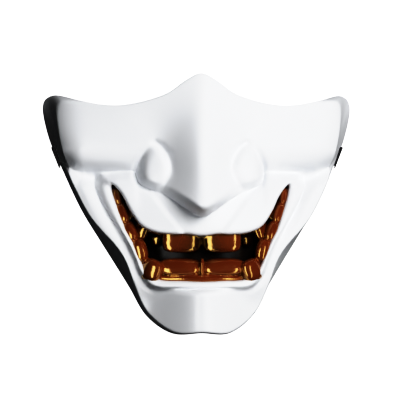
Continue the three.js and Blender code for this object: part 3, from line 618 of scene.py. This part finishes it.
def mark_groove_shade(obj):
    """Keeps for each vertex how deep it lies, from 0 in the grooves to 1 on the crowns, which sets the
    painted shade of the grooves.
    """
    p = vertices_of(obj) / MM
    y, z = p[:, 1] + MIDDLE_Y, p[:, 2] + RIM_TOP_V * math.sin(RIM_PITCH)
    v = y * math.cos(RIM_PITCH) + z * math.sin(RIM_PITCH)
    w = z * math.cos(RIM_PITCH) - y * math.sin(RIM_PITCH)
    # 0 deep in the grooves, which get the painted shade, up to 1 on the crowns
    out_of_shade = smooth(w - muzzle(np.abs(p[:, 0]), v), *GROOVE_SHADE)
    obj.data.attributes.new("out_of_shade", "FLOAT", "POINT").data.foreach_set("value", out_of_shade)


def make_row(name, gum, teeth):
    parts = [make_gum(**gum)]
    parts += [make_tooth(side, **shape) for shape in teeth for side in (1, -1)]
    only(parts[0])
    for part in parts[1:]:
        part.select_set(True)
    bpy.ops.object.join()
    row = bpy.context.object
    row.name = name
    recalculate(row)
    apply_modifier(row, "REMESH", mode="VOXEL", voxel_size=VOXEL)
    apply_modifier(row, "SMOOTH", factor=0.5, iterations=4)
    only(row)
    bpy.ops.object.shade_smooth()
    mark_groove_shade(row)
    print(name, "has", len(row.data.polygons), "faces")
    return row


upper = make_row("upper_teeth_fine", UPPER_GUM, UPPER_TEETH)
lower = make_row("lower_teeth_fine", LOWER_GUM, LOWER_TEETH)

# %% [markdown]
# The black panel
#
# A thin dark sheet closes the mouth behind both rows; its black stands in for the shade inside the mouth.
# A grid primitive is laid between the upper and the lower mouth edge, following the muzzle, and a solidify
# modifier gives it its thickness.
# %% Panel
# beyond is how far it reaches past the mouth edge, front its height over the muzzle, end its last station
PANEL = {"beyond": 3.0, "front": -16.3, "thick": 1.44, "columns": 120, "rows": 24, "end": 7.5}


def mouth_border(s, lower_side):
    """Points a little beyond the mouth edge; s runs from corner to corner."""
    t = LAST - (LAST - CORNER) * np.abs(s) / CORNER if lower_side else np.abs(s)
    mouth = station(t, MOUTH)
    out = station(t, CREASE) - mouth
    p = mouth + PANEL["beyond"] * out / np.linalg.norm(out, axis=1)[:, None]
    p[:, 0] *= np.where(s < 0, -1, 1)
    return p


bpy.ops.mesh.primitive_grid_add(x_subdivisions=PANEL["columns"], y_subdivisions=PANEL["rows"], size=2)
panel = bpy.context.object
panel.name = "mouth_shade_panel_fine"
place = vertices_of(panel)
s = PANEL["end"] * place[:, 0]
f = (1 - place[:, 1:2]) / 2
plan = mouth_border(s, False) * (1 - f) + mouth_border(s, True) * f
move_vertices(panel, over_muzzle(plan[:, 0], plan[:, 1], PANEL["front"]))
recalculate(panel)
apply_modifier(panel, "SOLIDIFY", thickness=PANEL["thick"] * MM, offset=-1)
only(panel)
bpy.ops.object.shade_smooth_by_angle(angle=math.radians(40))
print("panel:", len(panel.data.polygons), "faces")

# %% [markdown]
# The strap
#
# The strap is a 12 mm elastic that lies slack in the hollow, folded over twice in the middle.
# Each end passes out through its slot and is turned down flat on the wall, where it shows at the edge.
# A grid primitive is led along its centre line, and a solidify modifier gives it its thickness.
# %% Strap
# low is its height over the rim plane, lift what each layer adds, fold where it turns back,
# rise how far outside the left fold its ramp starts, and run where it starts to climb to the slot
STRAP = {"width": 12, "thick": 0.9, "low": 0.4, "lift": 1.8, "fold": 24, "rise": 14, "run": 42}
STRAP_LEAN = (52, 78)  # distances from the middle between which it takes up the lean of its slot
TURN = {"before": 6, "start": 0.25, "bend": 0.8, "down": 5.4}
FLAT = 2  # mm outside the left fold, where the ramp ends


def bend(x, z, radius, start, end, steps=12):
    angle = np.radians(np.linspace(start, end, steps + 1))
    return [(x + radius * math.cos(g), z + radius * math.sin(g)) for g in angle]


def slope(x0, z0, x1, z1, steps=24):
    k = np.linspace(0, 1, steps + 1)
    return list(zip(x0 + (x1 - x0) * k, z0 + (z1 - z0) * smooth(k, 0, 1)))


def strap_line():
    floor = STRAP["low"] + STRAP["thick"] / 2
    middle = floor + STRAP["lift"]
    top = floor + 2 * STRAP["lift"]
    turn = STRAP["lift"] / 2
    x = SLOT["x"] + TURN["start"]
    end = (slope(STRAP["run"], floor, SLOT["x"] - TURN["before"], SLOT["z"])
           + bend(x, SLOT["z"] - TURN["bend"], TURN["bend"], 90, 0)
           + [(x + TURN["bend"], SLOT["z"] - TURN["down"])])
    line = ([(-px, pz) for px, pz in reversed(end)]
            + slope(-STRAP["fold"] - STRAP["rise"], floor, -STRAP["fold"] - FLAT, top)
            + bend(STRAP["fold"], top - turn, turn, 90, -90)
            + bend(-STRAP["fold"], middle - turn, turn, 90, 270)
            + end)
    return np.array(line)


ACROSS = 9
line = strap_line()
bpy.ops.mesh.primitive_grid_add(x_subdivisions=len(line) - 1, y_subdivisions=ACROSS, size=2)
strap = bpy.context.object
strap.name = "strap_fine"
place = vertices_of(strap)
index = np.clip(np.round((place[:, 0] + 1) / 2 * (len(line) - 1)).astype(int), 0, len(line) - 1)
dy = place[:, 1] * STRAP["width"] / 2
x = line[index, 0]
lean = np.sign(x) * LEAN * dy * smooth(np.abs(x), *STRAP_LEAN)
move_vertices(strap, np.column_stack([x + lean, SLOT["y"] + dy, line[index, 1]]) * MM)
recalculate(strap)
apply_modifier(strap, "SOLIDIFY", thickness=STRAP["thick"] * MM, offset=0)
only(strap)
bpy.ops.object.shade_smooth_by_angle(angle=math.radians(40))
print("strap:", len(strap.data.polygons), "faces")

# %% [markdown]
# Shader sockets
#
# The materials are small node trees. This wrapper lets a tree be written as arithmetic.


# %% Socket wrapper
class Sock:
    """A shader socket that can be added, multiplied and used to blend colours."""

    def __init__(self, tree, socket):
        self.tree = tree
        self.socket = socket

    def node(self, kind, output=0, settings=None, **inputs):
        """Makes a node and returns one of its outputs; i0, i1 and so on name inputs by number."""
        made = self.tree.nodes.new(kind)
        for name, value in (settings or {}).items():
            setattr(made, name, value)
        for name, value in inputs.items():
            numbered = name[0] == "i" and name[1:].isdigit()
            plug(made.inputs[int(name[1:]) if numbered else name], value)
        return Sock(self.tree, made.outputs[output])

    def math(self, operation, other):
        return self.node("ShaderNodeMath", settings={"operation": operation}, i0=self, i1=other)

    def __add__(self, other):
        return self.math("ADD", other)

    __radd__ = __add__

    def __mul__(self, other):
        return self.math("MULTIPLY", other)

    __rmul__ = __mul__

    def mix_colours(self, first, second):
        """Blends two colours by this socket."""
        colours = {"data_type": "RGBA"}
        return self.node("ShaderNodeMix", output=2, settings=colours, i0=self, i6=first, i7=second)


def plug(target, value):
    """Links a socket to an input, or sets the input to a constant."""
    if isinstance(value, Sock):
        value.tree.links.new(value.socket, target)
    else:
        target.default_value = value


def new_material(name):
    material = bpy.data.materials.new(name)
    material.use_nodes = True
    tree = material.node_tree
    surface = tree.nodes["Principled BSDF"]
    coordinates = Sock(tree, tree.nodes.new("ShaderNodeTexCoord").outputs["Object"])
    return material, surface, coordinates


def feed(surface, **inputs):
    for name, value in inputs.items():
        plug(surface.inputs[name.replace("_", " ")], value)


def noise(coordinates, scale, detail):
    return coordinates.node("ShaderNodeTexNoise", Vector=coordinates, Scale=scale, Detail=detail)


def wave(coordinates, direction, scale, distortion):
    bands = {"bands_direction": direction}
    return coordinates.node("ShaderNodeTexWave", settings=bands, Vector=coordinates, Scale=scale,
                            Distortion=distortion)


def bump(height, strength, distance):
    return height.node("ShaderNodeBump", Strength=strength, Distance=distance, Height=height)


def dress(obj, material, node):
    obj.data.materials.clear()
    obj.data.materials.append(material)
    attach(obj, "root")
    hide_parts(node)


print("shader helpers ready")

# %% [markdown]
# Finishes
#
# The shell is satin white plastic, a little uneven in gloss as paint over a moulding is.
# The teeth wear an amber lacquer: a red-brown body under a mirror-bright coat that throws yellow highlights.
# Their grooves are painted nearly black as shade; the attribute kept for each vertex above says how deep a
# spot lies.
# The panel is glossy black, as painted shade inside the mouth, and the strap is a woven elastic with fine
# ribs.
# %% Shell finish
white, surface, here = new_material("satin_white")
cloud = noise(here, 18.0, 3.0)
fine = noise(here, 900.0, 2.0)
feed(surface,
     Base_Color=cloud.mix_colours((0.80, 0.82, 0.85, 1), (0.87, 0.88, 0.90, 1)),
     Roughness=0.34 + 0.10 * cloud,
     Normal=bump(fine, 0.05, 0.0002),
     IOR=1.48)
dress(shell, white, "mask_shell")
print("shell painted")

# %% Teeth finish
amber, surface, here = new_material("amber_lacquer_shaded_grooves")
cloud = noise(here, 60.0, 3.0)
streak = noise(here, 260.0, 2.0)
out_of_shade = here.node("ShaderNodeAttribute", output=2, settings={"attribute_name": "out_of_shade"})
body = cloud.mix_colours((0.115, 0.018, 0.004, 1), (0.18, 0.036, 0.007, 1))
feed(surface,
     # painted shade: near-black in the grooves, the amber body on the crowns
     Base_Color=out_of_shade.mix_colours((0.006, 0.0015, 0.001, 1), body),
     Roughness=0.10 + 0.08 * streak,
     IOR=2.6,
     Specular_Tint=(1.0, 0.66, 0.22, 1),
     Normal=bump(cloud, 0.10, 0.0006))
dress(upper, amber, "upper_teeth")
dress(lower, amber, "lower_teeth")
print("teeth lacquered")

# %% Panel and strap finish
# the near-black of the panel stands in for the shade inside the mouth
black, surface, here = new_material("gloss_black_shade")
cloud = noise(here, 40.0, 2.0)
feed(surface,
     Base_Color=cloud.mix_colours((0.004, 0.003, 0.003, 1), (0.012, 0.008, 0.006, 1)),
     Roughness=0.18 + 0.12 * cloud,
     Specular_IOR_Level=0.12)
dress(panel, black, "mouth_panel")

elastic, surface, here = new_material("black_elastic")
weave = wave(here, "Y", 260.0, 0.6)
cross = wave(here, "X", 190.0, 0.4)
feed(surface,
     Base_Color=(weave * cross).mix_colours((0.010, 0.010, 0.012, 1), (0.045, 0.045, 0.05, 1)),
     Roughness=0.75 + 0.15 * weave,
     Normal=bump(weave + cross, 0.4, 0.0004))
dress(strap, elastic, "strap")
print("panel and strap dressed")

# %% [markdown]
# The studio
#
# The mask lies on a lit white table, so that no shadow shows round it. One large soft light stands above
# the camera and to its right, a weak one beside the camera lifts the shadows, and a low one at the right
# grazes the wall there. Two tall upright strips and a large dim card are seen only as reflections.
# The strips draw the upright streaks on the teeth.
# A tone curve deepens the shadows and gives the whites a soft shoulder.
# The camera looks straight at the face from a long way off, turned two and a half degrees.
# %% Floor
bpy.ops.mesh.primitive_plane_add(size=40)
floor = bpy.context.object
floor.name = "floor"
pale, surface, here = new_material("lit_table")
cloud = noise(here, 3.0, 1.0)
feed(surface,
     Base_Color=cloud.mix_colours((0.90, 0.90, 0.90, 1), (0.93, 0.93, 0.93, 1)),
     Roughness=0.9,
     Emission_Color=cloud.mix_colours((0.99, 1.0, 1.0, 1), (1.0, 1.0, 1.0, 1)),
     Emission_Strength=1.7)
floor.data.materials.append(pale)
floor.visible_diffuse = False
floor.visible_glossy = False
print("floor is", round(floor.dimensions.x, 1), "m across")

# %% Lights
LEVEL = Matrix.Translation((0, -MIDDLE_Y * MM, -RIM_TOP_V * math.sin(RIM_PITCH) * MM))
TO_ROW = LEVEL @ Matrix.Rotation(RIM_PITCH, 4, "X")
WHITE_LEVEL = 1.6  # light that shows as pure white
TONE = [(0.08, 0.035), (0.35, 0.33), (0.62, 0.63), (0.86, 0.84), (1.15, 0.93)]  # light in, light out
FACE_DEPTH = 0.06  # m over the face plane, where the lights aim


def facing(place, back):
    """A placement in the front view, upright, with its back turned along the given direction."""
    back = back.normalized()
    right = Vector((0, 1, 0)).cross(back).normalized()
    turned = Matrix((right, back.cross(right), back)).transposed().to_4x4()
    return TO_ROW @ Matrix.Translation(place) @ turned


def studio_light(name, place, size, power, only_shine=False, level=0):
    """A soft light; its place and the level it aims at are given in the front view, in metres."""
    data = bpy.data.lights.new(name, "AREA")
    data.shape = "RECTANGLE"
    data.size, data.size_y = size
    data.energy = power
    obj = bpy.data.objects.new(name, data)
    bpy.context.scene.collection.objects.link(obj)
    obj.matrix_world = facing(Vector(place), Vector(place) - Vector((0, level, FACE_DEPTH)))
    obj.visible_diffuse = not only_shine
    return obj


key = studio_light("key", (0.47, 0.44, 1.10), (0.70, 0.70), 20)
key.visible_glossy = False
studio_light("left_strip", (-0.38, -0.22, 0.55), (0.24, 0.85), 3.7, only_shine=True, level=-0.22)
studio_light("right_strip", (0.38, -0.22, 0.55), (0.08, 0.85), 1.2, only_shine=True, level=-0.22)
studio_light("dim_card", (0, 0, 1.5), (1.6, 1.6), 0.5, only_shine=True)
studio_light("low_right", (0.95, -0.05, 0.25), (0.40, 0.40), 1.0).visible_glossy = False
studio_light("front", (-0.1, 0.0, 1.4), (0.8, 0.8), 0.9).visible_glossy = False
world = bpy.data.worlds.new("studio")
bpy.context.scene.world = world
world.use_nodes = True
sky = world.node_tree.nodes["Background"].inputs
sky["Color"].default_value = (0.8, 0.85, 0.9, 1)
sky["Strength"].default_value = 0.012
view = bpy.context.scene.view_settings
view.view_transform = "Standard"
view.use_curve_mapping = True
view.curve_mapping.white_level = (WHITE_LEVEL,) * 3
tone = view.curve_mapping.curves[3]  # the one for all three colours
tone.points[0].location = (0, 0)
tone.points[1].location = (1, 1)
for light_in, light_out in TONE:
    tone.points.new(light_in / WHITE_LEVEL, light_out)
view.curve_mapping.update()

# %% Camera
DISTANCE = 1.2
YAW = math.radians(2.5)
MM_PER_PIXEL = 0.6  # at the depth of the cheeks
PICTURE = 400  # pixels across and down
MIDDLE_COLUMN = 199.5
MIDDLE_ROW = 205
AIM = Vector((0, 0, 0.040))  # in the front view, in metres
camera = bpy.data.objects.new("camera", bpy.data.cameras.new("camera"))
bpy.context.scene.collection.objects.link(camera)
back = Vector((-math.sin(YAW), 0, math.cos(YAW)))
camera.matrix_world = facing(AIM + back * DISTANCE, back)
camera.data.sensor_width = 36
camera.data.lens = camera.data.sensor_width / (PICTURE * MM_PER_PIXEL * MM / DISTANCE)
camera.data.shift_x = (PICTURE / 2 - MIDDLE_COLUMN) / PICTURE
camera.data.shift_y = (MIDDLE_ROW - PICTURE / 2) / PICTURE
camera.data.dof.use_dof = False
bpy.context.scene.camera = camera
print("camera lens", round(camera.data.lens), "mm")
